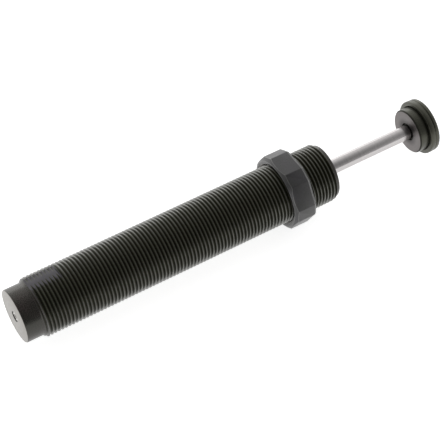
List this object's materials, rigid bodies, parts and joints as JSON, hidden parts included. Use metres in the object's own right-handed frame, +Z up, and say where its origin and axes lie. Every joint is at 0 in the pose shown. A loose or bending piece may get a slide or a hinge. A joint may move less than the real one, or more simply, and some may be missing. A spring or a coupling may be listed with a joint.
{
  "type": "industrial shock absorber",
  "caption": "Fully threaded oil shock absorber with a lock nut, a sprung chrome rod and a capped round strike button.",
  "frame": {"origin": "on the body's axis, in the plane of the lock nut's front face, which seats against the bracket", "axes": "+X along the rod's axis towards the strike button, +Z up, with one flat of the lock nut facing down"},
  "size_m": [0.1847, 0.0304, 0.0292],
  "materials": {
    "body_black": "black oxide, satin",
    "nut_black": "black oxide, satin",
    "bare_steel": "turned",
    "chrome_rod": "hard chrome, ground",
    "ball_steel": "polished",
    "spring_steel": "oiled",
    "bronze": "machined",
    "brass": "machined",
    "rubber": "moulded",
    "urethane": "moulded",
    "foam": "closed cell foam",
    "cap_dark": "moulded, satin"
  },
  "bodies": {
    "housing": {"threaded_body": "body_black", "fill_screw": "bare_steel", "fill_ball": "ball_steel", "tube_base": "bare_steel", "pressure_tube": "bare_steel", "return_spring": "spring_steel", "rod_guide": "bare_steel", "guide_bush": "bronze", "accumulator_foam": "foam", "guide_oring": "rubber", "rod_seal": "urethane", "rod_wiper": "urethane", "end_plate": "body_black", "retaining_ring": "spring_steel"},
    "rod": {"piston_rod": "chrome_rod", "seat_washer": "bare_steel", "piston": "brass", "spring_guide": "bare_steel", "piston_nut": "bare_steel", "button": "bare_steel", "button_cap": "cap_dark"},
    "check_valve": {"check_ring": "bronze"},
    "nut": {"lock_nut": "nut_black"}
  },
  "joints": [
    {"name": "rod_slide", "type": "slide", "parent": "housing", "child": "rod", "axis": [-1, 0, 0], "range_m": [0, 0.04], "stiffness_N_per_m": 732, "springref_m": -0.0109, "deforming": ["return_spring"]},
    {"name": "check_ring_slide", "type": "slide", "parent": "rod", "child": "check_valve", "axis": [-1, 0, 0], "range_m": [0, 0.0006]},
    {"name": "lock_nut_turn", "type": "hinge", "parent": "housing", "child": "nut", "pos_m": [0, 0, 0], "axis": [1, 0, 0], "continuous": true}
  ]
}
